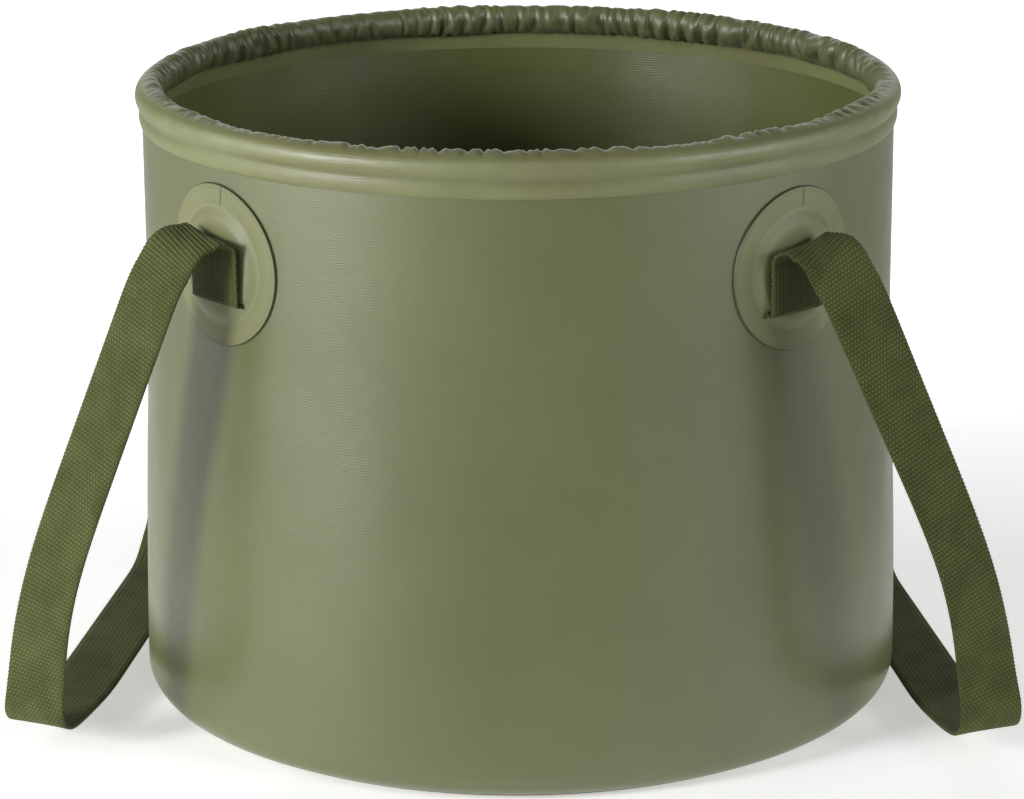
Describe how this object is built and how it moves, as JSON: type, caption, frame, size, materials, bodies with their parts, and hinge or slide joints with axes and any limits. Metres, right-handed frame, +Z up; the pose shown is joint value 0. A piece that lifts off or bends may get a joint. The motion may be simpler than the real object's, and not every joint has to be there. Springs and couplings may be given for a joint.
{
  "type": "collapsible washbasin",
  "caption": "Soft round folding washbasin of coated fabric with a hoop in a gathered rim, round strap patches and hanging webbing handles.",
  "frame": {"origin": "centre of the base where it stands on the floor", "axes": "+Z up, +X across from the left handle to the right handle, -Y the side that faces the picture"},
  "size_m": [0.4106, 0.317, 0.2602],
  "materials": {
    "coated_sheet": "satin PVC-coated polyester, olive green",
    "rim_sheet": "satin coated polyester, dark olive, gathered",
    "base_sheet": "satin PVC-coated polyester, olive green",
    "patch_sheet": "satin PVC sheet, olive green, welded",
    "webbing": "matt ribbed webbing, dark olive",
    "hoop_plastic": "matt extruded tube, black",
    "plug_plastic": "matt moulded, grey"
  },
  "bodies": {
    "rim": {"rim_hoop": "hoop_plastic", "hoop_plug": "plug_plastic", "rim_sleeve": "rim_sheet", "side_wall": "coated_sheet", "patch_base_front_left": "patch_sheet", "patch_base_front_right": "patch_sheet", "patch_base_back_left": "patch_sheet", "patch_base_back_right": "patch_sheet", "patch_cover_front_left": "patch_sheet", "patch_cover_front_right": "patch_sheet", "patch_cover_back_left": "patch_sheet", "patch_cover_back_right": "patch_sheet"},
    "bottom": {"bottom_panel": "base_sheet"},
    "strap_roots": {"webbing_tail_front_left": "webbing", "webbing_tail_front_right": "webbing", "webbing_tail_back_left": "webbing", "webbing_tail_back_right": "webbing", "strap_end_front_left": "webbing", "strap_end_front_right": "webbing", "strap_end_back_left": "webbing", "strap_end_back_right": "webbing"},
    "strap_left": {"handle_loop_left": "webbing"},
    "strap_right": {"handle_loop_right": "webbing"}
  },
  "joints": [
    {"name": "bottom_lift", "type": "slide", "parent": "rim", "child": "bottom", "axis": [0, 0, 1], "range_m": [0, 0.2], "deforming": ["side_wall", "patch_base_front_left", "patch_base_front_right", "patch_base_back_left", "patch_base_back_right", "patch_cover_front_left", "patch_cover_front_right", "patch_cover_back_left", "patch_cover_back_right"]},
    {"name": "roots_lift", "type": "slide", "parent": "rim", "child": "strap_roots", "axis": [0, 0, 1], "range_m": [0, 0.0315]},
    {"name": "left_strap_swing", "type": "hinge", "parent": "strap_roots", "child": "strap_left", "pos_m": [-0.1171, 0, 0.2125], "axis": [0, 1, 0], "range_deg": [0, 158], "deforming": ["strap_end_front_left", "strap_end_back_left"]},
    {"name": "right_strap_swing", "type": "hinge", "parent": "strap_roots", "child": "strap_right", "pos_m": [0.1171, 0, 0.2125], "axis": [0, -1, 0], "range_deg": [0, 158], "deforming": ["strap_end_front_right", "strap_end_back_right"]}
  ],
  "couplings": [
    {"joint": "roots_lift", "follows": "bottom_lift", "ratio": 0.1567}
  ]
}
